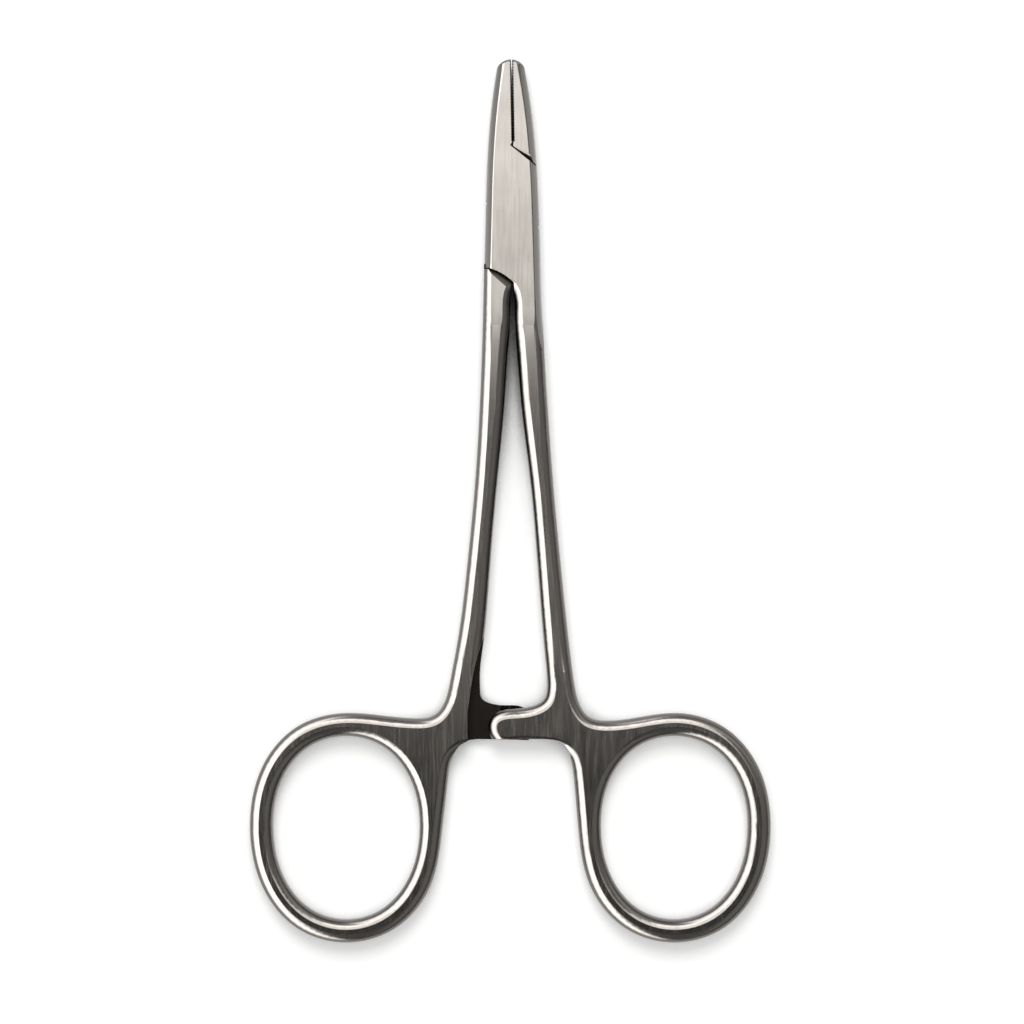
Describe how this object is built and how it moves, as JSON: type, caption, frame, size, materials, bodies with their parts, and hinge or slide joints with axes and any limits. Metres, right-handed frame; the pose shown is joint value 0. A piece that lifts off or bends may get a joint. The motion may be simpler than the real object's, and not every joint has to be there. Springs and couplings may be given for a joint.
{
  "type": "surgical needle holder",
  "caption": "Surgical needle holder: serrated tapered jaws, box lock hinge, slender shanks, oval finger rings and an overlapping ratchet that holds it shut.",
  "frame": {"origin": "on the axis of the pivot pin, at the ground underside of the box, on which the instrument lies", "axes": "+Y towards the tips of the closed jaws, +X to the right seen from the front, +Z out of the front face, along the pivot pin"},
  "size_m": [0.0767, 0.13, 0.0054],
  "materials": {
    "box_half_steel": "satin stainless steel",
    "tongue_half_steel": "satin stainless steel",
    "pin_steel": "satin stainless steel, ground flush"
  },
  "bodies": {
    "box_side": {"box_half": "box_half_steel", "pivot_pin": "pin_steel"},
    "tongue_side": {"tongue_half": "tongue_half_steel"}
  },
  "joints": [
    {"name": "jaw_hinge", "type": "hinge", "parent": "box_side", "child": "tongue_side", "pos_m": [0, 0, 0.0027], "axis": [0, 0, -1], "range_deg": [-0.3, 40]}
  ]
}
